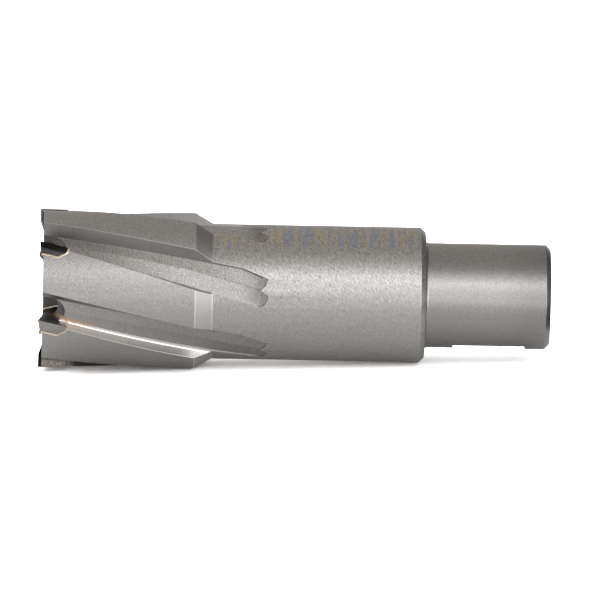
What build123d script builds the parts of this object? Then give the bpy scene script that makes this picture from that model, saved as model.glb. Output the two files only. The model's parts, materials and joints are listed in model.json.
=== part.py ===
from build123d import *
from math import asin, atan, cos, degrees, radians, sin, sqrt, tan
import os

# Annular cutter (core drill) with six brazed carbide tips, for magnetic base drilling machines.
#
# It is drawn along +X: x = 0 is the plane of the foremost tip and the shank points to +X.
# A clock angle goes round the axis: 0 is the -Y side, 90 is the top, 180 is the +Y side.
# It cuts turning towards rising clock angles, and its flutes fall back as x grows.
# At the end everything is laid down on the XY plane in the way that the cutter comes to rest.

# Lengths along the axis, from the foremost tip
front_face_setback = 0.82
head_length = 28.4
neck_taper_length = 3.3
body_length = 38.7
shank_length = 22.8
cutting_depth = 55.0

# Diameters
cut_diameter = 29.0
head_diameter = 28.4
body_diameter = 24.6
shank_diameter = 19.05
cavity_diameter = 20.6
pilot_bore_diameter = 8.0

# Edge breaks of the turned form
shoulder_chamfer = 0.9
shank_root_chamfer = 0.6
shank_end_chamfer = 0.85
pilot_bore_chamfer = 0.5
cavity_floor_chamfer = 1.0
front_edge_chamfer = 0.12

# Drive flats on the shank
flat_start_from_shoulder = 5.2
flat_length = 13.2
flat_depth = 1.0
flat_clocks = (-87.2, -177.2)

# Teeth
tooth_count = 6
first_tooth_clock = 107.6

# Flutes: each is milled in two passes that fan apart towards the shank.
# The heel pass leaves the leaning wall, the face pass leaves the rake wall behind the tip.
# Angles are measured at the tip plane, from the leading edge of the tooth to the flute side.
# Turns are in degrees per millimetre. Both passes swing round faster at the end of their run,
# from a bend on: bends and run-ons are measured from the neck.
rake_wall_turn = 1.222
rake_wall_lean = 5.0
face_pass_floor_radius = 12.05
face_pass_span = 15.7
face_pass_floor_normal = 11.5
heel_wall_turn = 0.915
heel_foot_angle = 17.6
heel_wall_lean = 25.0
heel_pass_floor_radius = 11.9
mill_radius = 9.0
mill_overlap = 0.1
rake_foot_fillet = 0.34
heel_pass_bend = 5.3
heel_pass_swing = 1.11
heel_pass_run_on = 9.85
face_pass_bend = 7.75
face_pass_swing = 1.67
face_pass_run_on = 9.7

# Gullet: the round ended notch ahead of each tip, cut through into the slug cavity
gullet_width = 3.9
gullet_end_station = 4.6
gullet_slope = 36.0
gullet_undercut = 0.3

# Carbide tips
tip_length = 5.45
tip_thickness = 2.1
tip_inner_radius = 9.9
tip_axial_rake = 14.5
tip_corner_cut = 1.3
tip_corner_round = 0.8
tip_lead = 0.4
side_relief = 4.0
front_relief = 8.0
outer_edge_width = 2.4
# Setback from the foremost plane: outer corner, knee, inner end of the cutting edge
tooth_forms = ((0.17, 0.2, 0.9), (0.22, 0.3, 0.8), (0.0, 0.68, 1.3))

# Braze
braze_gap = 0.25

# How far a cutting shape reaches past the metal that it removes
clearance = 3.0

neck_station = head_length + neck_taper_length
shoulder_station = neck_station + body_length
overall_length = shoulder_station + shank_length
head_radius = head_diameter / 2
body_radius = body_diameter / 2
shank_radius = shank_diameter / 2
cavity_radius = cavity_diameter / 2
pilot_radius = pilot_bore_diameter / 2
cut_radius = cut_diameter / 2
tool_radius = cut_radius + clearance
tooth_pitch = 360 / tooth_count


def polar(radius, angle):
    """Point in the YZ plane, at an angle from +Z towards +Y."""
    return Vector(radius * sin(radians(angle)), radius * cos(radians(angle)))


def turned_blank():
    """The bar after turning and boring, before any milling. Its seam faces away from the flats."""
    end = overall_length
    outline = Polyline(
        (front_face_setback, cavity_radius),
        (front_face_setback, head_radius - front_edge_chamfer),
        (front_face_setback + front_edge_chamfer, head_radius),
        (head_length, head_radius),
        (neck_station, body_radius),
        (shoulder_station - shoulder_chamfer, body_radius),
        (shoulder_station, body_radius - shoulder_chamfer),
        (shoulder_station, shank_radius + shank_root_chamfer),
        (shoulder_station + shank_root_chamfer, shank_radius),
        (end - shank_end_chamfer, shank_radius),
        (end, shank_radius - shank_end_chamfer),
        (end, pilot_radius + pilot_bore_chamfer),
        (end - pilot_bore_chamfer, pilot_radius),
        (cutting_depth, pilot_radius),
        (cutting_depth, cavity_radius - cavity_floor_chamfer),
        (cutting_depth - cavity_floor_chamfer, cavity_radius),
        close=True,
    )
    blank = revolve(make_face(Plane.XZ * outline), Axis.X)
    seam_clock = sum(flat_clocks) / len(flat_clocks) + 180
    return at_clock(blank, seam_clock)


def drive_flat(clock):
    """The block that mills one drive flat across the shank."""
    height = flat_depth + clearance
    block = Box(flat_length, shank_diameter, height, align=(Align.MIN, Align.CENTER, Align.MIN))
    start = shoulder_station + flat_start_from_shoulder
    return at_clock(Pos(start, 0, shank_radius - flat_depth) * block, clock)


def at_clock(shape, clock):
    """Turn a shape that is drawn at the top round to a clock angle."""
    return Rot(X=90 - clock) * shape


def mill_envelope(floor_radius, floor_normal, turn, bend, swing, end):
    """Where a disc mill has been: everything before its last place, and the disc itself there.

    The rim crosses the flute floor at a small angle and lifts out through the body surface.
    The disc stays set at the slope of the main run.
    """
    depth = body_radius - floor_radius + mill_overlap
    reach = sqrt(2 * mill_radius * depth - depth**2)
    helix = degrees(atan(radians(turn) * body_radius))
    last = end - reach * cos(radians(helix))
    last_turn = turn * last + swing * max(0, last - bend)
    width = 4 * tool_radius
    run = Box(overall_length, width, width, align=(Align.MAX, Align.CENTER, Align.MIN))
    disc = Rot(X=90) * Cylinder(mill_radius, width)
    disc = Pos(Z=floor_radius - mill_overlap + mill_radius) * disc
    place = Pos(X=last) * Rot(X=last_turn - floor_normal) * Rot(Z=-helix)
    return place * (run + disc)


def twisted(section, start, end, first_turn, turn):
    """A section in the YZ plane, carried along the axis while it turns."""
    face = Pos(X=start) * Rot(X=first_turn) * (Plane.YZ * section)
    length = end - start
    return Solid.extrude_linear_with_rotation(
        face.face(), center=(start, 0, 0), normal=(length, 0, 0), angle=turn * length
    )


def milling_pass(section, turn, floor_radius, floor_normal, bend_on, swing, run_on):
    """Twist a flute section along the axis and let it run out on the body, past the neck."""
    start = -clearance
    bend = neck_station + bend_on
    end = neck_station + run_on
    prism = twisted(section, start, bend, turn * start, turn)
    prism += twisted(section, bend, end + clearance, turn * bend, turn + swing)
    return prism & mill_envelope(floor_radius, floor_normal, turn, bend, swing, end)


def floor_point(floor_radius, floor_normal, angle):
    """Point on a flat flute floor, at an angle from the tooth's leading edge."""
    return polar(floor_radius / cos(radians(floor_normal - angle)), angle)


def along(point, angle, distance):
    """Point at a distance from another, in the direction of an angle from +Z."""
    return point + polar(distance, angle)


def face_pass():
    """The pass that leaves the rake wall and the half of the floor beside it."""
    foot = floor_point(face_pass_floor_radius, face_pass_floor_normal, 0)
    crest = floor_point(face_pass_floor_radius, face_pass_floor_normal, face_pass_span)
    height = tool_radius - face_pass_floor_radius
    outline = Polyline(
        foot,
        crest,
        along(crest, face_pass_span, height),
        along(foot, -rake_wall_lean, height),
        close=True,
    )
    section = make_face(outline)
    section = fillet(section.vertices().sort_by_distance(foot)[0], rake_foot_fillet)
    return milling_pass(
        section,
        rake_wall_turn,
        face_pass_floor_radius,
        face_pass_floor_normal,
        face_pass_bend,
        face_pass_swing,
        face_pass_run_on,
    )


def heel_pass():
    """The pass that leaves the leaning wall and the other half of the floor."""
    foot = polar(heel_pass_floor_radius, heel_foot_angle)
    near = floor_point(heel_pass_floor_radius, heel_foot_angle, tip_lead)
    height = tool_radius - heel_pass_floor_radius
    outline = Polyline(
        foot,
        near,
        along(near, 0, height),
        along(foot, heel_foot_angle + heel_wall_lean, height),
        close=True,
    )
    section = make_face(outline)
    return milling_pass(
        section,
        heel_wall_turn,
        heel_pass_floor_radius,
        heel_foot_angle,
        heel_pass_bend,
        heel_pass_swing,
        heel_pass_run_on,
    )


def on_tip_plane(shape):
    """Move a shape from tip axes (x along the tip, y off its rake face) to the tooth at the top."""
    return Rot(X=-tip_lead) * Rot(Z=-tip_axial_rake) * shape


def gullet():
    """The tool path of the gullet: a round ended slot that slopes forward as it goes in."""
    low = -gullet_undercut
    centre = gullet_end_station - gullet_width / 2
    front = -2 * clearance
    slot = Pos(centre, low + gullet_width / 2) * Circle(gullet_width / 2)
    slot += Pos(front, low) * Rectangle(centre - front, gullet_width, align=Align.MIN)
    lean = Vector(sin(radians(gullet_slope)), 0, cos(radians(gullet_slope)))
    depth = 2 * (heel_pass_floor_radius - cavity_radius) + clearance
    base = Vector(0, 0, face_pass_floor_radius) - lean * depth
    height = depth + tool_radius - face_pass_floor_radius
    return on_tip_plane(extrude(Pos(base) * slot, height, dir=lean))


def tip_outline(growth):
    """Outline of a tip seen from outside, grown on its back and its end by a gap."""
    length = tip_length + growth
    back = -tip_thickness - growth
    cut = tip_corner_cut + growth * (2 - sqrt(2))
    front = -clearance
    points = ((front, 0), (length, 0), (length, back + cut), (length - cut, back), (front, back))
    face = make_face(Polyline(*points, close=True))
    corners = face.vertices().sort_by_distance((length, back))[0:2]
    return fillet(corners, tip_corner_round + growth)


def tip_prism(outline):
    """A tip outline carried through the wall of the head."""
    low = pilot_radius
    return on_tip_plane(extrude(Pos(Z=low) * outline, tool_radius - low))


def carbide_tip(form):
    """One tip: seat outline, ground cutting edge with its relief, relieved outside and inside."""
    corner, knee, inner = form
    raw = on_tip_plane(
        extrude(Pos(Z=tip_inner_radius) * tip_outline(0), tool_radius - tip_inner_radius)
    )
    knee_radius = cut_radius - outer_edge_width
    back = tip_length + clearance
    outer_rise = (knee - corner) / outer_edge_width * clearance
    edge = Polyline(
        (corner - outer_rise, tool_radius),
        (knee, knee_radius),
        (inner, tip_inner_radius),
        (inner, 0),
        (back, 0),
        (back, tool_radius),
        close=True,
    )
    relief = Vector(sin(radians(front_relief)), -cos(radians(front_relief)), 0)
    ahead = relief * -clearance
    ground = extrude(Pos(ahead) * make_face(Plane.XZ * edge), 4 * clearance, dir=relief)
    centre = Vector(
        0, cut_radius * sin(radians(side_relief)), cut_radius * (1 - cos(radians(side_relief)))
    )
    round_side = Pos(centre) * Rot(Y=90) * Cylinder(cut_radius, 2 * overall_length)
    shaped = ground & (Rot(X=-tip_lead) * round_side)
    return raw & shaped


def braze_seam(flute):
    """The braze that fills the gap round the back and the end of a tip."""
    gap = tip_prism(tip_outline(braze_gap) - tip_outline(0))
    length = tip_length + clearance
    wall = Pos(X=front_face_setback) * Rot(Y=90) * (
        Cylinder(head_radius, length, align=(Align.CENTER, Align.CENTER, Align.MIN))
        - Cylinder(cavity_radius, length, align=(Align.CENTER, Align.CENTER, Align.MIN))
    )
    return (gap & wall) - flute


def lying_tilt():
    """Angle by which the shank end drops when the head and the shoulder both touch the ground.

    The head touches on the two edges of the flute that faces down.
    """
    edge_sine = heel_pass_floor_radius * sin(radians(heel_wall_lean)) / head_radius
    wall_top_angle = heel_foot_angle + heel_wall_lean - degrees(asin(edge_sine))
    samples = 60
    points = []
    for i in range(samples + 1):
        x = head_length * i / samples
        for tooth in range(tooth_count):
            tooth_clock = first_tooth_clock - tooth_pitch * tooth
            rake_edge = tooth_clock - rake_wall_turn * x
            heel_edge = tooth_clock + wall_top_angle - heel_wall_turn * x
            points.append((x, head_radius * sin(radians(rake_edge))))
            points.append((x, head_radius * sin(radians(heel_edge))))
    edge = (shoulder_station - shoulder_chamfer, -body_radius)

    low, high = 0.0, 30.0
    fine_enough = 1e-4
    while high - low > fine_enough:
        tilt = (low + high) / 2
        drop = tan(radians(tilt))
        head = min(z - x * drop for x, z in points)
        if head < edge[1] - edge[0] * drop:
            low = tilt
        else:
            high = tilt
    return low


def build():
    """All pieces on the straight axis, by node name."""
    flute = face_pass() + heel_pass()
    notch = gullet()
    seat = tip_prism(tip_outline(braze_gap))
    clocks = [first_tooth_clock - tooth_pitch * i for i in range(tooth_count)]

    body = turned_blank()
    for clock in clocks:
        body -= at_clock(flute, clock)
    for clock in clocks:
        body -= [at_clock(notch, clock), at_clock(seat, clock)]
    for clock in flat_clocks:
        body -= drive_flat(clock)
    pieces = {"cutter_body": body}

    seam = braze_seam(flute)
    for i, clock in enumerate(clocks):
        form = tooth_forms[i % len(tooth_forms)]
        pieces[f"carbide_tip_{i + 1}"] = at_clock(carbide_tip(form), clock)
        pieces[f"braze_seam_{i + 1}"] = at_clock(seam, clock)
    return pieces


def resting_place(pieces):
    """Tilts the cutter on to the ground, with the origin under the middle of its box."""
    tilt = Rot(Y=lying_tilt())
    boxes = [(tilt * shape).bounding_box() for shape in pieces.values()]
    middle_x = (min(box.min.X for box in boxes) + max(box.max.X for box in boxes)) / 2
    middle_y = (min(box.min.Y for box in boxes) + max(box.max.Y for box in boxes)) / 2
    ground = min(box.min.Z for box in boxes)
    return Pos(-middle_x, -middle_y, -ground) * tilt


def main():
    """Write each piece, laid down, as a STEP file of its own."""
    pieces = build()
    place = resting_place(pieces)
    os.makedirs("parts", exist_ok=True)
    for name, shape in pieces.items():
        export_step(place * shape, f"parts/{name}.step")
        print(name, round(shape.volume, 2))
    return place


place = main()
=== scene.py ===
import json
import math

import bmesh
import bpy
import numpy as np
from mathutils import Matrix, Vector


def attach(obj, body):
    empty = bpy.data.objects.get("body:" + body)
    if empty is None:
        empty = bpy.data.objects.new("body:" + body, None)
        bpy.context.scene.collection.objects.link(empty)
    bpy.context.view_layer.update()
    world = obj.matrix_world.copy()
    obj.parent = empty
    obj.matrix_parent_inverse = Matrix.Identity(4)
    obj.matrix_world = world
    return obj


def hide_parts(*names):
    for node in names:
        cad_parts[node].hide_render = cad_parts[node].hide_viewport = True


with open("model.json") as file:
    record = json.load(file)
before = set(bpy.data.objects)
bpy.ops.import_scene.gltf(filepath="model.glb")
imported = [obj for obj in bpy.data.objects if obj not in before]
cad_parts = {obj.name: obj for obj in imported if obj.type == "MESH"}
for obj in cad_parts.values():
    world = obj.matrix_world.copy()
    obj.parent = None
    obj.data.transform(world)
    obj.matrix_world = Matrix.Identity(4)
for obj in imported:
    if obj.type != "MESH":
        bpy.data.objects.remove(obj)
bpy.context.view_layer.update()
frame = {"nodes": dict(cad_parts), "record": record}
print("frame loaded:", len(frame["nodes"]), "nodes")

# Everything on the cutter is drawn in millimetres on its own axis: x runs from the foremost tip to the
# shank, and a clock angle goes round it (0 faces the camera side, 90 is the top, 180 is the far side).
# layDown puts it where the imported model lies.

cutter = {
    "headLength": 28.4,
    "neckEnd": 31.7,
    "shoulder": 70.4,
    "end": 93.2,
    "headRadius": 14.2,
    "bodyRadius": 12.3,
    "shankRadius": 9.525,
    "cavityRadius": 10.3,
    "boreRadius": 4.0,
    "cavityDepth": 55.0,
    "frontFace": 0.82,
    "cutRadius": 14.5,
    "toothCount": 6,
    "firstTooth": 107.6,
}


def findAxis():
    mounts = {m["name"]: m for m in frame["record"]["mounts"]}
    along = Vector(mounts["shank"]["axis"]).normalized()
    onAxis = Vector(mounts["shank"]["pos_m"])
    reach = (Vector(mounts["shoulder"]["pos_m"]) - onAxis).dot(along)
    start = onAxis + along * (reach - cutter["shoulder"] * 0.001)
    side = Vector((0, 1, 0))
    up = along.cross(side)
    turn = Matrix((along, side, up)).transposed().to_4x4()
    return Matrix.Translation(start) @ turn @ Matrix.Scale(0.001, 4)


layDown = findAxis()
axisTilt = math.degrees(math.asin(-layDown.col[0].z / 0.001))
print("axis found, tilt", round(axisTilt, 3))


def sind(angle):
    return math.sin(math.radians(angle))


def cosd(angle):
    return math.cos(math.radians(angle))


def tand(angle):
    return math.tan(math.radians(angle))


def polar(radius, angle):
    return np.array((radius * sind(angle), radius * cosd(angle)))


def newMesh(name, points, faces):
    mesh = bpy.data.meshes.new(name)
    mesh.from_pydata([tuple(p) for p in points], [], [tuple(f) for f in faces])
    mesh.validate()
    obj = bpy.data.objects.new(name, mesh)
    bpy.context.scene.collection.objects.link(obj)
    bm = bmesh.new()
    bm.from_mesh(mesh)
    bmesh.ops.recalc_face_normals(bm, faces=bm.faces)
    bm.to_mesh(mesh)
    bm.free()
    return obj


def softCorner(before, corner, after, radius, steps=4):
    # points of a small round between two straight edges
    a, c, b = (np.array(p, float) for p in (before, corner, after))
    u, v = (a - c) / np.linalg.norm(a - c), (b - c) / np.linalg.norm(b - c)
    half = math.acos(max(-1, min(1, float(u @ v)))) / 2
    back = radius / math.tan(half)
    middle = c + (u + v) / np.linalg.norm(u + v) * radius / math.sin(half)
    first, last = c + u * back - middle, c + v * back - middle
    sweep = math.acos(max(-1, min(1, float(first @ last) / radius**2)))
    made = []
    for i in range(steps + 1):
        t = i / steps
        k = math.sin(sweep)
        made.append(middle + (math.sin((1 - t) * sweep) * first + math.sin(t * sweep) * last) / k)
    return made


def softOutline(corners):
    # corners are (x, y, radius), closed
    points = []
    for i, (x, y, radius) in enumerate(corners):
        before, after = corners[i - 1], corners[(i + 1) % len(corners)]
        if radius:
            points += softCorner(before[:2], (x, y), after[:2], radius)
        else:
            points.append(np.array((x, y), float))
    return points


def lathe(name, outline, segments):
    count = len(outline)
    points, faces = [], []
    for s in range(segments):
        angle = 360 * s / segments
        points += [(x, r * sind(angle), r * cosd(angle)) for x, r in outline]
    for s in range(segments):
        for i in range(count):
            j, near, far = (i + 1) % count, s * count, (s + 1) % segments * count
            faces.append((near + i, near + j, far + j, far + i))
    return newMesh(name, points, faces)


def loft(name, rings, slots=None):
    # a closed tool from rings of as many points each; slots gives the material of each side
    count = len(rings[0])
    points = [p for ring in rings for p in ring]
    faces = [tuple(range(count)), tuple(range(len(points) - count, len(points)))]
    for r in range(len(rings) - 1):
        for i in range(count):
            j, near, far = (i + 1) % count, r * count, (r + 1) * count
            faces.append((near + i, near + j, far + j, far + i))
    tool = newMesh(name, points, faces)
    if slots:
        ends = [slots[0]] * 2
        tool.data.polygons.foreach_set("material_index", ends + slots * (len(rings) - 1))
    return tool


# Turned bar

turned = {
    "segments": 360,
    "edge": 0.09,
    "shoulderChamfer": 0.9,
    "shankRoot": 0.6,
    "shankChamfer": 0.85,
    "boreChamfer": 0.5,
    "cavityChamfer": 1.0,
    "smoothAngle": 24,
}


def turnedBar():
    e, c = turned["edge"], cutter
    corners = [
        (c["frontFace"], c["cavityRadius"], e),
        (c["frontFace"], c["headRadius"], e),
        (c["headLength"], c["headRadius"], e),
        (c["neckEnd"], c["bodyRadius"], e * 2),
        (c["shoulder"] - turned["shoulderChamfer"], c["bodyRadius"], e),
        (c["shoulder"], c["bodyRadius"] - turned["shoulderChamfer"], e),
        (c["shoulder"], c["shankRadius"], turned["shankRoot"]),
        (c["end"] - turned["shankChamfer"], c["shankRadius"], e),
        (c["end"], c["shankRadius"] - turned["shankChamfer"], e),
        (c["end"], c["boreRadius"] + turned["boreChamfer"], e),
        (c["end"] - turned["boreChamfer"], c["boreRadius"], e),
        (c["cavityDepth"], c["boreRadius"], e),
        (c["cavityDepth"], c["cavityRadius"] - turned["cavityChamfer"], 0),
        (c["cavityDepth"] - turned["cavityChamfer"], c["cavityRadius"], 0),
    ]
    return lathe("cutterBody", softOutline(corners), turned["segments"])


# Flutes: the heel pass leaves the leaning wall, the face pass the rake wall behind the tip

heelPass = {
    "turn": 0.915,
    "floorRadius": 11.9,
    "floorNormal": 17.6,
    "heelAngle": 17.6,
    "heelLean": 42.6,
    "faceAngle": 0.4,
    "faceLean": 0.0,
    "runOn": 9.85,
    "swingFrom": 5.3,
    "swing": 1.11,
    "faceCorner": 0,
}
facePass = {
    "turn": 1.222,
    "floorRadius": 12.05,
    "floorNormal": 11.5,
    "heelAngle": 15.7,
    "heelLean": 15.7,
    "faceAngle": 0.0,
    "faceLean": -5.0,
    "runOn": 9.7,
    "swingFrom": 7.75,
    "swing": 1.67,
    "faceCorner": 0.55,
}
milling = {
    "millRadius": 9.0,
    "overlap": 0.1,
    "step": 0.5,
    "runStep": 0.12,
    "floorPoints": 16,
    "liftEnd": 0.55,
    "toolRadius": 17.5,
    "ahead": 3.0,
    "runBefore": 1.0,
    "runAfter": 1.2,
}


def fluteSection(p):
    # from the rake side to the heel side: wall top, floor, wall top
    def onFloor(angle):
        return polar(p["floorRadius"] / cosd(p["floorNormal"] - angle), angle)

    tall = milling["toolRadius"] - p["floorRadius"]
    faceFoot, heelFoot = onFloor(p["faceAngle"]), onFloor(p["heelAngle"])
    faceTop = faceFoot + polar(tall, p["faceLean"])
    heelTop = heelFoot + polar(tall, p["heelLean"])
    first = [faceFoot]
    if p["faceCorner"]:
        first = softCorner(faceTop, faceFoot, heelFoot, p["faceCorner"])
    between = [
        first[-1] + (heelFoot - first[-1]) * i / milling["floorPoints"]
        for i in range(1, milling["floorPoints"])
    ]
    return faceTop, first + between + [heelFoot], heelTop


def fluteTool(name, p):
    # the floor follows the rim of a disc mill, which lifts out through the body at the end of its run
    faceTop, floor, heelTop = fluteSection(p)
    radius = milling["millRadius"]
    end = cutter["neckEnd"] + p["runOn"]
    depth = cutter["bodyRadius"] - p["floorRadius"] + milling["overlap"]
    helix = math.degrees(math.atan(math.radians(p["turn"]) * cutter["bodyRadius"]))
    reach = math.sqrt(2 * radius * depth - depth**2)
    last = end - reach * cosd(helix)
    normal = polar(1, p["floorNormal"])
    across = np.array((normal[1], -normal[0]))
    middle = p["floorRadius"] * normal
    faceSlide = tand(p["faceLean"] - p["floorNormal"])
    heelSlide = tand(p["heelLean"] - p["floorNormal"])
    widths = [float((q - middle) @ across) for q in floor]
    bend = last - milling["runBefore"]
    stations = list(np.arange(-milling["ahead"], bend, milling["step"]))
    stations += list(np.arange(bend, end + milling["runAfter"], milling["runStep"]))
    rings = []
    for x in stations:
        extra = max(0, x - cutter["neckEnd"] - p["swingFrom"])
        turn = p["turn"] * x + p["swing"] * extra
        section = [faceTop]
        for q, width in zip(floor, widths):
            s = (x - last) * cosd(helix) - width * sind(helix)
            s = min(max(s, 0), radius * milling["liftEnd"])
            lift = max(0, radius - math.sqrt(radius**2 - s**2) - milling["overlap"])
            share = (width - widths[0]) / (widths[-1] - widths[0])
            slide = faceSlide + (heelSlide - faceSlide) * share
            section.append(q + (normal + across * slide) * lift)
        section.append(heelTop)
        c, s = cosd(turn), sind(turn)
        rings.append([(x, t * c - h * s, t * s + h * c) for t, h in section])
    # slots: 0 floor, 1 heel wall, 2 rake wall and its foot
    slots = [2] * (len(floor) - milling["floorPoints"] + 1) if p["faceCorner"] else [0]
    slots += [0] * (len(floor) - len(slots)) + [1, 0]
    return loft(name, rings, slots)


# Tip seats, gullets and drive flats

tips = {
    "length": 5.45,
    "thickness": 2.1,
    "cornerCut": 1.3,
    "cornerRound": 0.8,
    "axialRake": 14.5,
    "lead": 0.4,
    "gap": 0.25,
    "litTip": 2,
    "brownLitTip": 3,
    "margin": 1.15,
    "ahead": 3.0,
    "seatSpan": (4.0, 17.5),
    "topFacing": 0.7,
    "edgeWidth": 0.00005,
    "edgeSteps": 2,
    "edgeAngle": 30,
    "smoothAngle": 35,
}
gullet = {
    "width": 3.9,
    "end": 4.6,
    "slope": 36.0,
    "undercut": 0.3,
    "arcSteps": 28,
    "ahead": 6.0,
    "span": (-6.2, 5.5),
}
flats = {
    "start": 5.2,
    "length": 13.2,
    "depth": 1.0,
    "width": 10.0,
    "clearance": 4.0,
    "clocks": (-87.2, -177.2),
}


tipPlane = Matrix.Rotation(math.radians(-tips["lead"]), 4, "X") @ Matrix.Rotation(
    math.radians(-tips["axialRake"]), 4, "Z"
)


def onTipPlane(x, y, z):
    return tipPlane @ Vector((x, y, z))


def toothTurn(tooth):
    turn = 90 - cutter["firstTooth"] + 360 / cutter["toothCount"] * tooth
    return Matrix.Rotation(math.radians(turn), 4, "X")


def tipOutline(growth):
    length = tips["length"] + growth
    back = -tips["thickness"] - growth
    cut = tips["cornerCut"] + growth * (2 - math.sqrt(2))
    r, front = tips["cornerRound"] + growth, -tips["ahead"]
    rounds = [(length, back + cut, r), (length - cut, back, r)]
    return [(front, 0, 0), (length, 0, 0), *rounds, (front, back, 0)]


def seatTool():
    outline = softOutline(tipOutline(tips["gap"]))
    rings = [[onTipPlane(x, y, z) for x, y in outline] for z in tips["seatSpan"]]
    return loft("seatTool", rings)


def gulletTool():
    half = gullet["width"] / 2
    cx, cy = gullet["end"] - half, half - gullet["undercut"]
    outline = [(-gullet["ahead"], cy + half), (-gullet["ahead"], cy - half)]
    for i in range(gullet["arcSteps"] + 1):
        angle = 180 * i / gullet["arcSteps"]
        outline.append((cx + half * sind(angle), cy - half * cosd(angle)))
    lean = (sind(gullet["slope"]), cosd(gullet["slope"]))
    rings = []
    for reach in gullet["span"]:
        shift, z = reach * lean[0], facePass["floorRadius"] + reach * lean[1]
        rings.append([onTipPlane(x + shift, y, z) for x, y in outline])
    return loft("gulletTool", rings)


def flatTool():
    x0 = cutter["shoulder"] + flats["start"]
    x1, half = x0 + flats["length"], flats["width"] / 2
    bottom = cutter["shankRadius"] - flats["depth"]
    top = bottom + flats["clearance"]
    section = ((-half, bottom), (half, bottom), (half, top), (-half, top))
    return loft("flatTool", [[(x, y, z) for y, z in section] for x in (x0, x1)])


def ringCutTree():
    # cuts a ring of turned copies of a tool out of the mesh
    tree = bpy.data.node_groups.new("ringCut", "GeometryNodeTree")
    face = tree.interface
    face.new_socket("Geometry", in_out="INPUT", socket_type="NodeSocketGeometry")
    face.new_socket("Tool", in_out="INPUT", socket_type="NodeSocketObject")
    face.new_socket("Copies", in_out="INPUT", socket_type="NodeSocketInt")
    face.new_socket("First Turn", in_out="INPUT", socket_type="NodeSocketFloat")
    face.new_socket("Step Turn", in_out="INPUT", socket_type="NodeSocketFloat")
    face.new_socket("Steel", in_out="INPUT", socket_type="NodeSocketMaterial")
    face.new_socket("Geometry", in_out="OUTPUT", socket_type="NodeSocketGeometry")
    add, link = tree.nodes.new, tree.links.new
    source, result = add("NodeGroupInput"), add("NodeGroupOutput")
    tool = add("GeometryNodeObjectInfo")
    line = add("GeometryNodeMeshLine")
    copies = add("GeometryNodeInstanceOnPoints")
    index = add("GeometryNodeInputIndex")
    step = add("ShaderNodeMath")
    step.operation = "MULTIPLY_ADD"
    turn = add("ShaderNodeCombineXYZ")
    real = add("GeometryNodeRealizeInstances")
    cut = add("GeometryNodeMeshBoolean")
    cut.operation = "DIFFERENCE"
    cut.solver = "EXACT"
    whole = add("GeometryNodeRealizeInstances")
    milled = add("GeometryNodeInputNamedAttribute")
    milled.data_type = "BOOLEAN"
    milled.inputs["Name"].default_value = "milled"
    kept = add("FunctionNodeBooleanMath")
    kept.operation = "NOT"
    paint = add("GeometryNodeSetMaterial")
    line.inputs["Offset"].default_value = (0, 0, 0)
    link(source.outputs["Tool"], tool.inputs["Object"])
    link(source.outputs["Copies"], line.inputs["Count"])
    link(line.outputs["Mesh"], copies.inputs["Points"])
    link(tool.outputs["Geometry"], copies.inputs["Instance"])
    link(index.outputs["Index"], step.inputs[0])
    link(source.outputs["Step Turn"], step.inputs[1])
    link(source.outputs["First Turn"], step.inputs[2])
    link(step.outputs["Value"], turn.inputs["X"])
    link(turn.outputs["Vector"], copies.inputs["Rotation"])
    link(copies.outputs["Instances"], real.inputs["Geometry"])
    link(source.outputs["Geometry"], cut.inputs["Mesh 1"])
    link(real.outputs["Geometry"], cut.inputs["Mesh 2"])
    link(cut.outputs["Mesh"], whole.inputs["Geometry"])
    link(whole.outputs["Geometry"], paint.inputs["Geometry"])
    link(milled.outputs["Attribute"], kept.inputs[0])
    link(kept.outputs[0], paint.inputs["Selection"])
    link(source.outputs["Steel"], paint.inputs["Material"])
    link(paint.outputs["Geometry"], result.inputs["Geometry"])
    return tree


def addNodes(obj, tree, values):
    # a modifier's inputs are set by the identifiers of its sockets
    modifier = obj.modifiers.new(tree.name, "NODES")
    modifier.node_group = tree
    for item in tree.interface.items_tree:
        if item.in_out == "INPUT" and item.name in values:
            modifier[item.identifier] = values[item.name]
    return modifier


def bake(obj):
    shape = bpy.context.evaluated_depsgraph_get()
    mesh = bpy.data.meshes.new_from_object(obj.evaluated_get(shape))
    obj.modifiers.clear()
    obj.data = mesh
    return mesh


def smoothByAngle(mesh, angle):
    bm = bmesh.new()
    bm.from_mesh(mesh)
    for f in bm.faces:
        f.smooth = True
    for e in bm.edges:
        e.smooth = len(e.link_faces) == 2 and e.calc_face_angle(0) < math.radians(angle)
    bm.to_mesh(mesh)
    bm.free()


# Materials

# streaks: slant, width, length and share of each family of fine lines
# calm: the heights between which the grain fades, and what is left of it below
# the painted light and shade: the stations and heights between which the colour is multiplied by the
# last number
# lines: painted highlight lines, with stations, half width and brightness
grainSpan = (0.35, 0.65)
# edgeLook: the round of the shading normal at edges, and the span and colour of the painted edge
# highlight
edgeLook = {
    "round": 0.00013,
    "samples": 6,
    "from": 0.005,
    "to": 0.04,
    "colour": (0.95, 0.94, 0.92),
}
turnedLook = {
    "colour": (0.5, 0.484, 0.463),
    "roughness": 0.36,
    "mottle": 0.62,
    "calm": (-2.0, 5.0, 0.45),
    "grainSize": 0.15,
    "grainDepth": 0.00002,
    "paintedEdgeHighlight": 0.8,
    "streaks": ((54, 0.18, 1.1, 0.3), (88, 0.15, 0.8, 0.24)),
}
landLook = {
    **turnedLook,
    "colour": (0.46, 0.446, 0.428),
    "roughness": 0.42,
    "streaks": ((50, 0.3, 1.0, 0.15),),
    "mottle": 0.36,
    "grainDepth": 0.000008,
}
# the neck ring is a lighter copy of the land steel as painted light, painted shade darkens its top,
# and painted highlight lines run along both edges
neckLook = {
    **landLook,
    "colour": (0.57, 0.552, 0.53),
    "paintedLightAndShade": (((0.0, 1.0), (6.0, 9.5), 0.66),),
    "lines": ((28.5, 31.6), 0.13, 1.25),
    "roughness": 0.5,
    "mottle": 0.08,
}
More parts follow.
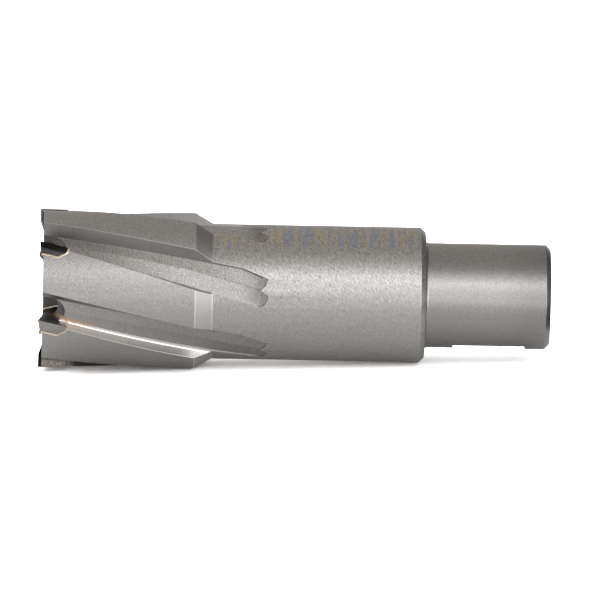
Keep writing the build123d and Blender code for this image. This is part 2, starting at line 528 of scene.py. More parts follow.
shankLook = {
    **turnedLook,
    "colour": (0.41, 0.398, 0.382),
    # painted shade: darker towards the end of the shank
    "paintedLightAndShade": (((82.0, 92.5), (-30.0, -20.0), 0.84),),
    "roughness": 0.3,
    "mottle": 0.3,
    "streaks": ((30, 0.3, 1.5, 0.2),),
}
milledLook = {
    "colour": (0.39, 0.376, 0.358),
    # painted light on the upper side from station 7 on, painted shade on the upper side at the ends of
    # the run-outs
    "paintedLightAndShade": (((7.0, 20.0), (-4.0, 2.0), 1.28), ((36.5, 40.5), (-4.0, 2.0), 0.68)),
    "roughness": 0.5,
    "mottle": 0.48,
    "calm": (-2.0, 5.0, 0.5),
    "grainSize": 0.16,
    "grainDepth": 0.000018,
    "streaks": ((68, 0.18, 1.2, 0.25),),
}
# the heel walls: a darker copy of the milled steel, painted shade
heelShadeLook = {
    **milledLook,
    "colour": (0.31, 0.303, 0.294),
    "roughness": 0.42,
    "mottle": 0.12,
}
# the rake wall and its foot: a brighter copy of the milled steel, a painted highlight
rakeHighlightLook = {
    **milledLook,
    "colour": (0.92, 0.9, 0.87),
    "roughness": 0.26,
    "mottle": 0.05,
    "grainDepth": 0.000002,
}
# the gullets: dark steel, painted shade in the notches
gulletShadeLook = {
    "colour": (0.13, 0.124, 0.118),
    "roughness": 0.4,
    "mottle": 0.2,
    "grainSize": 0.5,
    "grainDepth": 0.000006,
    "streaks": ((0, 0.4, 1.5, 0.3),),
}
# the slug cavity and the bore: dark steel, painted shade in the hollow
boreShadeLook = {
    "colour": (0.11, 0.105, 0.1),
    "roughness": 0.5,
    "mottle": 0.1,
    "grainSize": 0.6,
    "grainDepth": 0.000006,
    "streaks": ((88, 0.4, 6.0, 0.6),),
}
# the tips are one carbide in dark, lit and brown lit copies, painted light per tip
carbideLook = {"colour": (0.06, 0.058, 0.056), "mottle": 0.2, "grainSize": 0.3, "roughness": 0.33}
litCarbideLook = {**carbideLook, "colour": (0.4, 0.385, 0.37)}
brownLitCarbideLook = {**carbideLook, "colour": (0.24, 0.21, 0.18), "mottle": 0.4}
# a black copy of the carbide, painted shade
shadedCarbideLook = {**carbideLook, "colour": (0.018, 0.017, 0.016), "roughness": 0.4}
brazeLook = {"colour": (0.9, 0.76, 0.57), "mottle": 0.16, "grainSize": 0.5, "roughness": 0.3}
# a dark brown copy of the braze, painted shade on the brown tip's braze
shadedBrazeLook = {**brazeLook, "colour": (0.1, 0.075, 0.05)}
# painted reflection colours, straw and blue, on the upper side of the bar
reflectionTintLook = {
    "start": 32.5,
    "from": 9.7,
    "to": 10.5,
    "top": 12.4,
    "patch": (0.44, 0.56),
    "patchWidth": 0.8,
    "patchLength": 8.0,
    "straw": (1.16, 1.07, 0.85),
    "blue": (0.84, 0.93, 1.1),
    "strength": 0.9,
}
residueLook = {
    "colour": (0.66, 0.42, 0.24),
    "from": 4.0,
    "fade": 12.0,
    "line": 0.6,
    "reach": 0.5,
    "blotch": (0.36, 0.52),
    "blotchSize": 0.9,
}
# painted shade, dark brown: along the rake wall behind the brown tip, black in the gullet before the
# pale tip, and along the rims of the run-outs
paintedShadeLook = {
    "colour": (0.06, 0.045, 0.03),
    "tooth": 3,
    "from": 5.0,
    "full": 7.0,
    "fade": 26.0,
    "depth": 0.92,
    "ahead": 0.35,
}
pitShadeLook = {"tooth": 2, "depth": 0.96, "from": 3.5, "full": 2.8}
rimShadeLook = {"start": 32.2, "depth": 1.0, "within": 0.02}


def newMaterial(name):
    material = bpy.data.materials.new(name)
    material.use_nodes = True
    nodes = material.node_tree.nodes
    return material, nodes, material.node_tree.links.new, nodes["Principled BSDF"]


def mathNode(nodes, link, operation, *values):
    node = nodes.new("ShaderNodeMath")
    node.operation = operation
    for i, value in enumerate(values):
        if isinstance(value, (int, float)):
            node.inputs[i].default_value = value
        else:
            link(value, node.inputs[i])
    return node.outputs[0]


def mapRange(nodes, link, value, start, end, first=0, last=1, smooth=False):
    node = nodes.new("ShaderNodeMapRange")
    node.interpolation_type = "SMOOTHSTEP" if smooth else "LINEAR"
    names = ("From Min", "From Max", "To Min", "To Max")
    for name, number in zip(names, (start, end, first, last)):
        node.inputs[name].default_value = number
    link(value, node.inputs["Value"])
    return node.outputs["Result"]


def attribute(nodes, name):
    node = nodes.new("ShaderNodeAttribute")
    node.attribute_name = name
    return node.outputs["Fac"]


def axisCoordinates(nodes, link):
    # object coordinates turned on to the cutter's own axis, in millimetres
    place = nodes.new("ShaderNodeTexCoord")
    mapping = nodes.new("ShaderNodeMapping")
    start = layDown.translation
    turn = Matrix.Rotation(math.radians(-axisTilt), 3, "Y")
    shift = turn @ (start * -1000)
    mapping.inputs["Location"].default_value = shift
    mapping.inputs["Rotation"].default_value = (0, math.radians(-axisTilt), 0)
    mapping.inputs["Scale"].default_value = (1000, 1000, 1000)
    link(place.outputs["Object"], mapping.inputs["Vector"])
    return mapping.outputs["Vector"]


def unrolled(nodes, link, where):
    # along the axis and round the bar, both in millimetres
    parts = nodes.new("ShaderNodeSeparateXYZ")
    link(where, parts.inputs[0])
    x, y, z = parts.outputs
    around = mathNode(nodes, link, "ARCTAN2", y, z)
    return x, mathNode(nodes, link, "MULTIPLY", around, -cutter["bodyRadius"]), z


def noise(nodes, link, vector, size, detail=3):
    texture = nodes.new("ShaderNodeTexNoise")
    texture.inputs["Scale"].default_value = 1 / size
    texture.inputs["Detail"].default_value = detail
    link(vector, texture.inputs["Vector"])
    return texture.outputs["Fac"]


def streakLines(nodes, link, x, around, angle, width, length):
    # fine lines at a slant to the axis, on the unrolled surface
    across = mathNode(nodes, link, "MULTIPLY", x, -sind(angle) / width)
    across = mathNode(nodes, link, "MULTIPLY_ADD", around, cosd(angle) / width, across)
    along = mathNode(nodes, link, "MULTIPLY", x, cosd(angle) / length)
    along = mathNode(nodes, link, "MULTIPLY_ADD", around, sind(angle) / length, along)
    vector = nodes.new("ShaderNodeCombineXYZ")
    link(across, vector.inputs[0])
    link(along, vector.inputs[1])
    return noise(nodes, link, vector.outputs[0], 1.0, 2)


def mixColour(nodes, link, factor, first, second, blend="MIX"):
    mix = nodes.new("ShaderNodeMix")
    mix.data_type = "RGBA"
    mix.blend_type = blend
    sockets = (mix.inputs[0], mix.inputs[6], mix.inputs[7])
    for socket, value in zip(sockets, (factor, first, second)):
        if isinstance(value, (int, float)):
            socket.default_value = value
        elif isinstance(value, tuple):
            socket.default_value = (*value, 1)
        else:
            link(value, socket)
    return mix.outputs[2]


def mottled(nodes, link, look, factor):
    # the noise moves the colour up and down about its own value
    spread = mapRange(nodes, link, factor, *grainSpan)
    dark = tuple(c * (1 - look["mottle"]) for c in look["colour"])
    light = tuple(c * (1 + look["mottle"]) for c in look["colour"])
    return mixColour(nodes, link, spread, dark, light)


def paintReflectionTint(nodes, link, x, around, z, colour):
    # painted reflection colours: faint straw and blue patches on the upper side of the bar, with bare
    # steel between them
    t = reflectionTintLook
    parts = nodes.new("ShaderNodeCombineXYZ")
    link(mathNode(nodes, link, "MULTIPLY", x, 1 / t["patchWidth"]), parts.inputs[0])
    link(mathNode(nodes, link, "MULTIPLY", around, 1 / t["patchLength"]), parts.inputs[1])
    patch = mapRange(nodes, link, noise(nodes, link, parts.outputs[0], 1.0, 1), *t["patch"])
    tint = mixColour(nodes, link, patch, t["straw"], t["blue"])
    off = mathNode(nodes, link, "ABSOLUTE", mathNode(nodes, link, "SUBTRACT", patch, 0.5))
    amount = mapRange(nodes, link, z, t["from"], t["to"], 0, t["strength"], smooth=True)
    for factor in (
        mathNode(nodes, link, "GREATER_THAN", x, t["start"]),
        mathNode(nodes, link, "LESS_THAN", z, t["top"]),
        mathNode(nodes, link, "MULTIPLY", off, 2),
    ):
        amount = mathNode(nodes, link, "MULTIPLY", amount, factor)
    return mixColour(nodes, link, amount, colour, tint, "MULTIPLY")


def calmed(nodes, link, z, pattern, low, high, share):
    # the pattern fades towards the underside
    fade = mapRange(nodes, link, z, low, high, share)
    off = mathNode(nodes, link, "SUBTRACT", pattern, 0.5)
    return mathNode(nodes, link, "MULTIPLY_ADD", off, fade, 0.5)


def paintLightAndShade(nodes, link, x, z, colour, along, up, share):
    # painted light and shade: lighter or darker beyond a station, on the side from a height upwards
    steps = [mapRange(nodes, link, v, *span, smooth=True) for v, span in ((x, along), (z, up))]
    both = mathNode(nodes, link, "MULTIPLY", *steps)
    factor = mathNode(nodes, link, "MULTIPLY_ADD", both, share - 1, 1)
    return mixColour(nodes, link, 1.0, colour, factor, "MULTIPLY")


def paintHighlightLines(nodes, link, x, colour, stations, halfWidth, share):
    # a painted highlight line at each station
    for station in stations:
        away = mathNode(nodes, link, "ABSOLUTE", mathNode(nodes, link, "SUBTRACT", x, station))
        near = mathNode(nodes, link, "LESS_THAN", away, halfWidth)
        factor = mathNode(nodes, link, "MULTIPLY_ADD", near, share - 1, 1)
        colour = mixColour(nodes, link, 1.0, colour, factor, "MULTIPLY")
    return colour


def roundedNormal(nodes):
    edge = nodes.new("ShaderNodeBevel")
    edge.samples = edgeLook["samples"]
    edge.inputs["Radius"].default_value = edgeLook["round"]
    return edge.outputs["Normal"]


def paintEdgeHighlight(nodes, link, rounded, colour, shine):
    # painted highlight on the edges, where the rounded normal leaves the true one
    plain = nodes.new("ShaderNodeNewGeometry")
    agree = nodes.new("ShaderNodeVectorMath")
    agree.operation = "DOT_PRODUCT"
    link(rounded, agree.inputs[0])
    link(plain.outputs["Normal"], agree.inputs[1])
    apart = mathNode(nodes, link, "SUBTRACT", 1, agree.outputs["Value"])
    paintedHighlight = mapRange(nodes, link, apart, edgeLook["from"], edgeLook["to"], 0, shine)
    return mixColour(nodes, link, paintedHighlight, colour, edgeLook["colour"])


def steel(name, look, tint=False, residue=False):
    material, nodes, link, shader = newMaterial(name)
    where = axisCoordinates(nodes, link)
    x, around, z = unrolled(nodes, link, where)
    grain = noise(nodes, link, where, look["grainSize"])
    left = 1 - sum(share for *_, share in look["streaks"])
    both = mathNode(nodes, link, "MULTIPLY", grain, left)
    for *shape, share in look["streaks"]:
        lines = streakLines(nodes, link, x, around, *shape)
        both = mathNode(nodes, link, "MULTIPLY_ADD", lines, share, both)
    if "calm" in look:
        both = calmed(nodes, link, z, both, *look["calm"])
    colour = mottled(nodes, link, look, both)
    # painted light and shade
    for shade in look.get("paintedLightAndShade", ()):
        colour = paintLightAndShade(nodes, link, x, z, colour, *shade)
    # painted highlight lines
    if "lines" in look:
        colour = paintHighlightLines(nodes, link, x, colour, *look["lines"])
    # painted reflection colours
    if tint:
        colour = paintReflectionTint(nodes, link, x, around, z, colour)
    # braze residue as a stain, then painted shade in dark brown
    if residue:
        blotches = noise(nodes, link, where, residueLook["blotchSize"])
        blotch = mapRange(nodes, link, blotches, *residueLook["blotch"])
        amount = mathNode(nodes, link, "MULTIPLY", blotch, attribute(nodes, "residue"))
        colour = mixColour(nodes, link, amount, colour, residueLook["colour"])
        colour = mixColour(nodes, link, attribute(nodes, "paintedShade"), colour, paintedShadeLook["colour"])
    rounded = roundedNormal(nodes)
    # a painted highlight along the edges
    if "paintedEdgeHighlight" in look:
        colour = paintEdgeHighlight(nodes, link, rounded, colour, look["paintedEdgeHighlight"])
    bump = nodes.new("ShaderNodeBump")
    bump.inputs["Distance"].default_value = look["grainDepth"]
    link(both, bump.inputs["Height"])
    link(rounded, bump.inputs["Normal"])
    link(bump.outputs["Normal"], shader.inputs["Normal"])
    link(colour, shader.inputs["Base Color"])
    shader.inputs["Metallic"].default_value = 1
    shader.inputs["Roughness"].default_value = look["roughness"]
    return material


def speckled(name, look):
    material, nodes, link, shader = newMaterial(name)
    grain = noise(nodes, link, axisCoordinates(nodes, link), look["grainSize"])
    link(mottled(nodes, link, look, grain), shader.inputs["Base Color"])
    shader.inputs["Metallic"].default_value = 1
    shader.inputs["Roughness"].default_value = look["roughness"]
    return material


turnedSteel = steel("turnedSteel", turnedLook, tint=True)
landSteel = steel("landSteel", landLook)
neckSteel = steel("neckSteel", neckLook)
shankSteel = steel("shankSteel", shankLook)
milledSteel = steel("milledSteel", milledLook, residue=True)
heelShadeSteel = steel("heelShadeSteel", heelShadeLook)
rakeHighlightSteel = steel("rakeHighlightSteel", rakeHighlightLook, residue=True)
gulletShadeSteel = steel("gulletShadeSteel", gulletShadeLook, residue=True)
boreShadeSteel = steel("boreShadeSteel", boreShadeLook)
groundCarbide = speckled("groundCarbide", carbideLook)
litCarbide = speckled("litCarbide", litCarbideLook)
brownLitCarbide = speckled("brownLitCarbide", brownLitCarbideLook)
shadedCarbide = speckled("shadedCarbide", shadedCarbideLook)
brazeGold = speckled("brazeGold", brazeLook)
shadedBraze = speckled("shadedBraze", shadedBrazeLook)
print("materials ready")


# Cutter body

def markMilled(obj, materials):
    flag = obj.data.attributes.new("milled", "BOOLEAN", "FACE")
    flag.data.foreach_set("value", [True] * len(obj.data.polygons))
    for material in materials:
        obj.data.materials.append(material)


def markTurned(mesh):
    # the ground shank and the lands of the head have finishes of their own; the slug cavity gets dark
    # steel as painted shade, and the neck a lighter steel as painted light
    bored = len(mesh.materials)
    ground, land, neck = bored + 1, bored + 2, bored + 3
    for material in (boreShadeSteel, shankSteel, landSteel, neckSteel):
        mesh.materials.append(material)
    milled = mesh.attributes["milled"].data
    edge = turned["edge"]
    for face in mesh.polygons:
        x, y, z = face.center
        if milled[face.index].value:
            continue
        inCavity = cutter["frontFace"] + edge < x < cutter["cavityDepth"] + edge
        radius = cutter["cavityRadius"] if inCavity else cutter["boreRadius"]
        if math.hypot(y, z) < radius + edge:
            face.material_index = bored
        elif x > cutter["shoulder"]:
            face.material_index = ground
        elif x < cutter["headLength"] - edge:
            face.material_index = land
        elif x < cutter["neckEnd"] + edge:
            face.material_index = neck


def toothAt(x, y, z):
    # the tooth whose rake wall is nearest, and how many degrees past it the point lies
    pitch = 360 / cutter["toothCount"]
    angle = math.degrees(math.atan2(y, z)) + 90 - cutter["firstTooth"] + facePass["turn"] * x
    tooth = round(-angle / pitch)
    return tooth % cutter["toothCount"], angle + tooth * pitch


def markRakeHighlight(mesh):
    # painted highlight: only one rake wall gets the bright steel, the others keep the steel of the
    # floor
    highlighted = mesh.materials.find("rakeHighlightSteel")
    floor = mesh.materials.find("milledSteel")
    for face in mesh.polygons:
        if face.material_index == highlighted and toothAt(*face.center)[0] != tips["litTip"]:
            face.material_index = floor


def paintedShadeAt(tooth, x, inGullet):
    # painted shade: black in the gullet before the pale tip, brown along the rake wall behind the
    # brown one
    if inGullet and tooth == pitShadeLook["tooth"]:
        rise = (pitShadeLook["from"] - x) / (pitShadeLook["from"] - pitShadeLook["full"])
        return pitShadeLook["depth"] * max(0, min(1, rise))
    if inGullet or tooth != paintedShadeLook["tooth"]:
        return 0
    rise = (x - paintedShadeLook["from"]) / (paintedShadeLook["full"] - paintedShadeLook["from"])
    fall = (paintedShadeLook["fade"] - x) / (paintedShadeLook["fade"] - paintedShadeLook["full"])
    return max(0, min(paintedShadeLook["depth"], rise, 2 * fall))


def markResidueAndShade(mesh):
    # braze that ran from the gullet along the foot of the rake wall, and painted shade in a gullet,
    # along a rake wall and on the run-outs' rims
    stain = mesh.attributes.new("residue", "FLOAT", "CORNER")
    paintedShade = mesh.attributes.new("paintedShade", "FLOAT", "CORNER")
    milled = mesh.attributes["milled"].data
    gulletSlot = mesh.materials.find("gulletShadeSteel")
    start, end = residueLook["from"], residueLook["fade"]
    for face in mesh.polygons:
        if not milled[face.index].value:
            continue
        inGullet = face.material_index == gulletSlot
        for corner in face.loop_indices:
            x, y, z = mesh.vertices[mesh.loops[corner].vertex_index].co
            tooth, past = toothAt(x, y, z)
            off = math.radians(past) * facePass["floorRadius"]
            if inGullet:
                paintedShade.data[corner].value = paintedShadeAt(tooth, x, True)
            elif off > -paintedShadeLook["ahead"]:
                near = max(0, 1 - max(0, off) / (2 * residueLook["reach"]))
                paintedShade.data[corner].value = paintedShadeAt(tooth, x, False) * near
            edge = cutter["bodyRadius"] - math.hypot(y, z) < rimShadeLook["within"]
            if edge and rimShadeLook["start"] < x < cutter["shoulder"]:
                paintedShade.data[corner].value = rimShadeLook["depth"]
            if start < x < end:
                near = max(0, 1 - abs(off - residueLook["line"]) / residueLook["reach"])
                stain.data[corner].value = min(1, 2 * near * (end - x) / (end - start))


def buildBody():
    body = turnedBar()
    body.data.materials.append(turnedSteel)
    tree = ringCutTree()
    fluteSteels = [milledSteel, heelShadeSteel, rakeHighlightSteel]
    clocks = flats["clocks"]
    teeth = (cutter["toothCount"], 90 - cutter["firstTooth"], 360 / cutter["toothCount"])
    sides = (len(clocks), 90 - clocks[0], clocks[0] - clocks[1])
    cuts = [
        (fluteTool("facePass", facePass), fluteSteels, teeth),
        (fluteTool("heelPass", heelPass), fluteSteels, teeth),
        (gulletTool(), [gulletShadeSteel], teeth),
        (seatTool(), [brazeGold], teeth),
        (flatTool(), [milledSteel], sides),
    ]
    for tool, materials, (copies, first, step) in cuts:
        markMilled(tool, materials)
        turns = {"First Turn": math.radians(first), "Step Turn": math.radians(step)}
        addNodes(body, tree, {"Tool": tool, "Copies": copies, **turns, "Steel": turnedSteel})
    mesh = bake(body)
    for tool, *_ in cuts:
        bpy.data.objects.remove(tool)
    markTurned(mesh)
    markRakeHighlight(mesh)
    markResidueAndShade(mesh)
    mesh.transform(layDown)
    smoothByAngle(mesh, turned["smoothAngle"])
    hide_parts("cutter_body")
    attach(body, "root")
    return body


body = buildBody()
print("body cut:", len(body.data.polygons), "faces")


# Tips and braze

merging = {"distance": 1e-7, "angle": 1}
bead = {
    "Lump Size": 0.5,
    "Lump Height": 1.4,
    "End Swell": 1.6,
    "Point Gap": 0.08,
    "radii": (0.08, 0.17, 0.17, 0.1, 0.15, 0.15),
    "sink": 0.12,
    "frontGap": 0.35,
    "sides": 10,
    "swellEnd": 0.45,
}


def mergedCopy(node, name):
    mesh = frame["nodes"][node].data.copy()
    obj = bpy.data.objects.new(name, mesh)
    bpy.context.scene.collection.objects.link(obj)
    bm = bmesh.new()
    bm.from_mesh(mesh)
    bmesh.ops.remove_doubles(bm, verts=bm.verts, dist=merging["distance"])
    flat = math.radians(merging["angle"])
    bmesh.ops.dissolve_limit(bm, angle_limit=flat, verts=bm.verts, edges=bm.edges)
    bm.to_mesh(mesh)
    bm.free()
    mesh.materials.clear()
    return obj


def markTipShade(mesh, tooth):
    # painted shade: black in front of the body, and on the ground margin of the dark tips
    place = layDown @ toothTurn(tooth) @ tipPlane
    axis = place.to_3x3()
    front, margin = cutter["frontFace"], -tips["margin"]
    dark = tooth not in (tips["litTip"], tips["brownLitTip"])
    bm = bmesh.new()
    bm.from_mesh(mesh)
    planes = [((front, 0, 0), (1, 0, 0))] if tooth != tips["litTip"] else []
    if dark:
        planes.append(((0, margin, 0), (0, 1, 0)))
    for point, normal in planes:
        everything = bm.verts[:] + bm.edges[:] + bm.faces[:]
        point, normal = place @ Vector(point), axis @ Vector(normal)
        bmesh.ops.bisect_plane(bm, geom=everything, plane_co=point, plane_no=normal)
    inverse = place.inverted()
    for face in bm.faces:
        outward = (axis.transposed() @ face.normal).normalized().z
        centre = inverse @ face.calc_center_median()
        ahead = centre.x < front and tooth != tips["litTip"]
        if ahead or (dark and outward > tips["topFacing"] and centre.y > margin):
            face.material_index = 1
    bm.to_mesh(mesh)
    bm.free()


def buildTips():
    # painted light: the pale tip and the brown tip get lighter copies of the carbide
    paintedLightAndShade = {tips["litTip"]: litCarbide, tips["brownLitTip"]: brownLitCarbide}
    for i in range(cutter["toothCount"]):
        node = f"carbide_tip_{i + 1}"
        tip = mergedCopy(node, f"carbideTip{i + 1}")
        tip.data.materials.append(paintedLightAndShade.get(i, groundCarbide))
        tip.data.materials.append(shadedCarbide)
        markTipShade(tip.data, i)
        soft = tip.modifiers.new("edges", "BEVEL")
        soft.width = tips["edgeWidth"]
        soft.segments = tips["edgeSteps"]
        soft.limit_method = "ANGLE"
        soft.angle_limit = math.radians(tips["edgeAngle"])
        bake(tip)
        smoothByAngle(tip.data, tips["smoothAngle"])
        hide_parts(node)
        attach(tip, "root")


def beadTree():
    # a lumpy bead of braze along a line
    tree = bpy.data.node_groups.new("brazeBead", "GeometryNodeTree")
    face = tree.interface
    face.new_socket("Geometry", in_out="INPUT", socket_type="NodeSocketGeometry")
    for name in ("Radius", "Lump Size", "Lump Height", "End Swell", "Point Gap", "Seed"):
        face.new_socket(name, in_out="INPUT", socket_type="NodeSocketFloat")
    face.new_socket("Braze", in_out="INPUT", socket_type="NodeSocketMaterial")
    face.new_socket("Geometry", in_out="OUTPUT", socket_type="NodeSocketGeometry")
    add, link = tree.nodes.new, tree.links.new
    source, result = add("NodeGroupInput"), add("NodeGroupOutput")
    curve = add("GeometryNodeMeshToCurve")
    even = add("GeometryNodeResampleCurve")
    even.mode = "LENGTH"
    lump = add("ShaderNodeTexNoise")
    lump.noise_dimensions = "4D"
    lump.inputs["Detail"].default_value = 1
    size = add("ShaderNodeMath")
    size.operation = "DIVIDE"
    size.inputs[0].default_value = 1
    centred = add("ShaderNodeMath")
    centred.operation = "SUBTRACT"
    centred.inputs[1].default_value = 0.5
    thick = add("ShaderNodeMath")
    thick.operation = "MULTIPLY_ADD"
    along = add("GeometryNodeSplineParameter")
    swell = add("ShaderNodeMapRange")
    swell.interpolation_type = "SMOOTHSTEP"
    swell.inputs["From Max"].default_value = bead["swellEnd"]
    swell.inputs["To Max"].default_value = 1
    circle = add("GeometryNodeCurvePrimitiveCircle")
    circle.inputs["Resolution"].default_value = bead["sides"]
    tube = add("GeometryNodeCurveToMesh")
    tube.inputs["Fill Caps"].default_value = True
    real = add("GeometryNodeRealizeInstances")
    paint = add("GeometryNodeSetMaterial")
    link(source.outputs["Geometry"], curve.inputs["Mesh"])
    link(curve.outputs["Curve"], even.inputs["Curve"])
    link(source.outputs["Point Gap"], even.inputs["Length"])
    link(source.outputs["Seed"], lump.inputs["W"])
    link(source.outputs["Lump Size"], size.inputs[1])
    link(size.outputs[0], lump.inputs["Scale"])
    link(lump.outputs["Fac"], centred.inputs[0])
    link(centred.outputs[0], thick.inputs[0])
    link(source.outputs["Lump Height"], thick.inputs[1])
    link(along.outputs["Factor"], swell.inputs["Value"])
    link(source.outputs["End Swell"], swell.inputs["To Min"])
    link(swell.outputs["Result"], thick.inputs[2])
    link(source.outputs["Radius"], circle.inputs["Radius"])
    link(even.outputs["Curve"], tube.inputs["Curve"])
    link(circle.outputs["Curve"], tube.inputs["Profile Curve"])
    link(thick.outputs[0], tube.inputs["Scale"])
    link(tube.outputs["Mesh"], real.inputs["Geometry"])
    link(real.outputs["Geometry"], paint.inputs["Geometry"])
    link(source.outputs["Braze"], paint.inputs["Material"])
    link(paint.outputs["Geometry"], result.inputs["Geometry"])
    return tree


# the brown tip's braze is a dark copy, painted shade
def brazeOf(tooth):
    return shadedBraze if tooth == tips["brownLitTip"] else brazeGold


def beadLine(name, tooth):
    # from the rake edge round the end and the back of the tip, half sunk in the land
    outline = softOutline(tipOutline(tips["gap"] / 2))
    path = [p for p in outline if p[0] > 0]
    path.append(np.array((cutter["frontFace"] + bead["frontGap"], path[-1][1])))
    points = []
    for x, y in path:
        at = onTipPlane(x, y, 0)
        at.z = math.sqrt(cutter["headRadius"] ** 2 - at.y**2) - bead["sink"]
        points.append(toothTurn(tooth) @ at)
    obj = bpy.data.objects.new(name, bpy.data.meshes.new(name))
    obj.data.from_pydata(points, [(i, i + 1) for i in range(len(points) - 1)], [])
    bpy.context.scene.collection.objects.link(obj)
    return obj


def buildBeads():
    tree = beadTree()
    for i in range(cutter["toothCount"]):
        line = beadLine(f"brazeBead{i + 1}", i)
        own = {"Radius": bead["radii"][i], "Seed": float(i), "Braze": brazeOf(i)}
        addNodes(line, tree, {**bead, **own})
        mesh = bake(line)
        mesh.transform(layDown)
        for face in mesh.polygons:
            face.use_smooth = True
        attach(line, "root")


def buildSeams():
    for i in range(cutter["toothCount"]):
        node = f"braze_seam_{i + 1}"
        seam = mergedCopy(node, f"brazeSeam{i + 1}")
        seam.data.materials.append(brazeOf(i))
        smoothByAngle(seam.data, tips["smoothAngle"])
        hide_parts(node)
        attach(seam, "root")


buildTips()
buildSeams()
buildBeads()
print("tips and braze ready")


# Studio

# tent: how bright the inside of the light tent is at each elevation, from the front horizon over
# the top to the back, at its left end, over the cutter and at its right end
studio = {
    "worldStrength": 1.0,
    "floorHalf": 4,
    "floorColour": 3.2,
    "floorReflected": 0.65,
    "floorGlow": 0.06,
    "tent": (
        (3, 0.3, 1.1, 2.1),
        (18, 0.3, 1.1, 2.0),
        (29, 0.35, 1.15, 2.0),
        (31, 0.4, 2.2, 1.9),
        (39, 0.5, 2.2, 1.8),
        (42, 0.6, 1.5, 1.7),
        (50, 0.7, 1.15, 1.6),
        (58, 0.75, 0.75, 1.1),
        (66, 0.75, 0.52, 0.8),
        (76, 0.75, 0.43, 0.4),
        (96, 0.75, 0.42, 0.15),
        (130, 0.75, 0.42, 0.12),
        (172, 0.75, 0.42, 0.12),
    ),
    "tentRadius": 0.7,
    "tentHalfLength": 1.4,
    "tentLeft": -0.4,
    "tentOver": 0.15,
    "tentRight": 0.4,
    "tentEnd": 0.15,
    "card": ((0.055, 1.5), (0.2, 2.2), (1.4, 2.2)),
    "cardHeight": 0.0005,
    "cardBack": -0.03,
    "darkCard": ((0.055, -0.03), (1.4, 0.3)),
    "darkCardGlow": 0.12,
    "tentTint": (0.99, 1.0, 1.03),
    "dimTint": (1.03, 0.98, 0.95),
    "tintSpan": (0.5, 1.5),
    "keyPlace": (0.0, -0.5, 0.9),
    "keyAim": (0, 0, 0.012),
    "keySize": (1.0, 0.6),
    "keyPower": 0.5,
}


def buildWorld():
    world = bpy.data.worlds.new("studioWorld")
    bpy.context.scene.world = world
    world.use_nodes = True
    back = world.node_tree.nodes["Background"]
    back.inputs["Color"].default_value = (1, 1, 1, 1)
    back.inputs["Strength"].default_value = studio["worldStrength"]


def buildFloor():
    # the camera sees a white floor that keeps its shadow, and the metal reflects a darker one
    h = studio["floorHalf"]
    floor = newMesh("floor", [(-h, -h, 0), (h, -h, 0), (h, h, 0), (-h, h, 0)], [(0, 1, 2, 3)])
    material = bpy.data.materials.new("paleFloor")
    material.use_nodes = True
    nodes, link = material.node_tree.nodes, material.node_tree.links.new
    nodes.clear()
    out = nodes.new("ShaderNodeOutputMaterial")
    matt = nodes.new("ShaderNodeBsdfDiffuse")
    path = nodes.new("ShaderNodeLightPath")
    own, white = (studio["floorReflected"],) * 3, (studio["floorColour"],) * 3
    link(mixColour(nodes, link, path.outputs["Is Camera Ray"], own, white), matt.inputs["Color"])
    glow = nodes.new("ShaderNodeEmission")
    strength = mathNode(nodes, link, "MULTIPLY", path.outputs["Is Glossy Ray"], studio["floorGlow"])
    link(strength, glow.inputs["Strength"])
    both = nodes.new("ShaderNodeAddShader")
    link(matt.outputs[0], both.inputs[0])
    link(glow.outputs[0], both.inputs[1])
    link(both.outputs[0], out.inputs["Surface"])
    floor.data.materials.append(material)


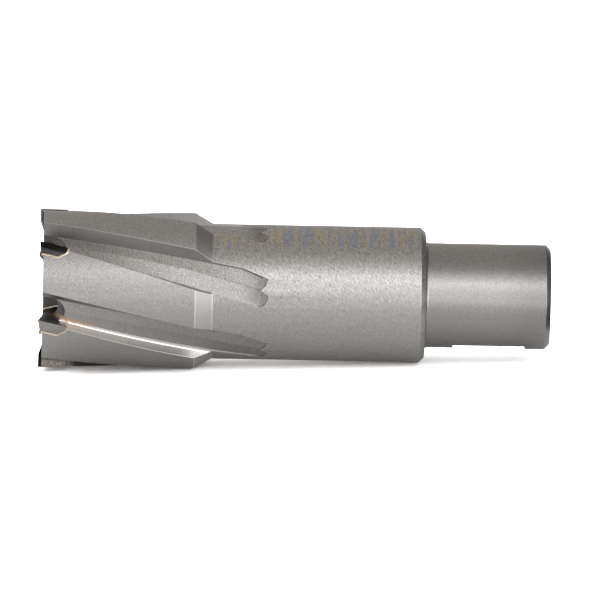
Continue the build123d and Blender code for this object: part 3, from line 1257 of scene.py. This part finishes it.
def buildTent():
    # only the metal's reflections see it; its dim parts are warmer than its bright ones
    material = bpy.data.materials.new("tentCloth")
    material.use_nodes = True
    nodes, link = material.node_tree.nodes, material.node_tree.links.new
    nodes.clear()
    out = nodes.new("ShaderNodeOutputMaterial")
    glow = nodes.new("ShaderNodeEmission")
    level = attribute(nodes, "brightness")
    share = mapRange(nodes, link, level, *studio["tintSpan"])
    tint = mixColour(nodes, link, share, studio["dimTint"], studio["tentTint"])
    link(tint, glow.inputs["Color"])
    link(level, glow.inputs["Strength"])
    link(glow.outputs[0], out.inputs["Surface"])
    radius, half = studio["tentRadius"], studio["tentHalfLength"]
    over = studio["tentOver"]
    stations = (-half, studio["tentLeft"], -over, over, studio["tentRight"], half)
    count = len(stations)
    points, levels, faces = [], [], []
    for angle, *bright in studio["tent"]:
        for i, x in enumerate(stations):
            points.append((x, -radius * cosd(angle), radius * sind(angle)))
            levels.append(bright[i // 2])
    for i in range(len(studio["tent"]) - 1):
        for j in range(count - 1):
            near, far = count * i + j, count * (i + 1) + j
            faces.append((near, near + 1, far + 1, far))
    first = len(points)
    for x, bright in studio["card"]:
        for y in (-radius, studio["cardBack"]):
            points.append((x, y, studio["cardHeight"]))
            levels.append(bright)
    for near in range(first, len(points) - 2, 2):
        faces.append((near, near + 2, near + 3, near + 1))
    (x0, y0), (x1, y1) = studio["darkCard"]
    z = studio["cardHeight"]
    flat = [(x0, y0, z), (x1, y0, z), (x1, y1, z), (x0, y1, z)]
    r = radius
    upright = [(half, -r, 0), (half, r, 0), (half, r, r), (half, -r, r)]
    for corners, bright in ((flat, studio["darkCardGlow"]), (upright, studio["tentEnd"])):
        faces.append(tuple(range(len(points), len(points) + 4)))
        points += corners
        levels += [bright] * 4
    tent = newMesh("tent", points, faces)
    values = tent.data.attributes.new("brightness", "FLOAT", "POINT")
    values.data.foreach_set("value", levels)
    tent.data.materials.append(material)
    tent.visible_camera = False
    tent.visible_diffuse = False
    tent.visible_shadow = False


def buildKeyLight():
    data = bpy.data.lights.new("key", "AREA")
    data.shape = "RECTANGLE"
    data.size, data.size_y = studio["keySize"]
    data.energy = studio["keyPower"]
    lamp = bpy.data.objects.new("key", data)
    bpy.context.scene.collection.objects.link(lamp)
    lamp.location = studio["keyPlace"]
    lamp.rotation_mode = "QUATERNION"
    aim = Vector(studio["keyAim"]) - Vector(studio["keyPlace"])
    lamp.rotation_quaternion = aim.to_track_quat("-Z", "Y")
    lamp.visible_glossy = False


buildWorld()
buildFloor()
buildTent()
buildKeyLight()

photoView = {
    "azimuth": 0.5479,
    "elevation": 11.91,
    "roll": -0.8813,
    "distance": 2.5,
    "focalPixels": 13717.3,
    "imagePixels": 600,
    "sensorWidth": 36,
    "clip": (0.05, 20),
    "target": (0.00108, 0.0, 0.011723),
}


def buildCamera():
    v = photoView
    a, e, r = v["azimuth"], v["elevation"], v["roll"]
    ahead = Vector((sind(a) * cosd(e), cosd(a) * cosd(e), -sind(e)))
    right = ahead.cross(Vector((0, 0, 1))).normalized()
    up = right.cross(ahead)
    right, up = cosd(r) * right + sind(r) * up, cosd(r) * up - sind(r) * right
    data = bpy.data.cameras.new("camera")
    data.sensor_width = v["sensorWidth"]
    data.lens = v["focalPixels"] / v["imagePixels"] * data.sensor_width
    data.clip_start, data.clip_end = v["clip"]
    camera = bpy.data.objects.new("camera", data)
    bpy.context.scene.collection.objects.link(camera)
    pose = Matrix((right, up, -ahead)).transposed().to_4x4()
    pose.translation = Vector(v["target"]) - ahead * v["distance"]
    camera.matrix_world = pose
    bpy.context.scene.camera = camera


buildCamera()
bpy.context.scene.view_settings.view_transform = "Standard"
print("studio ready")
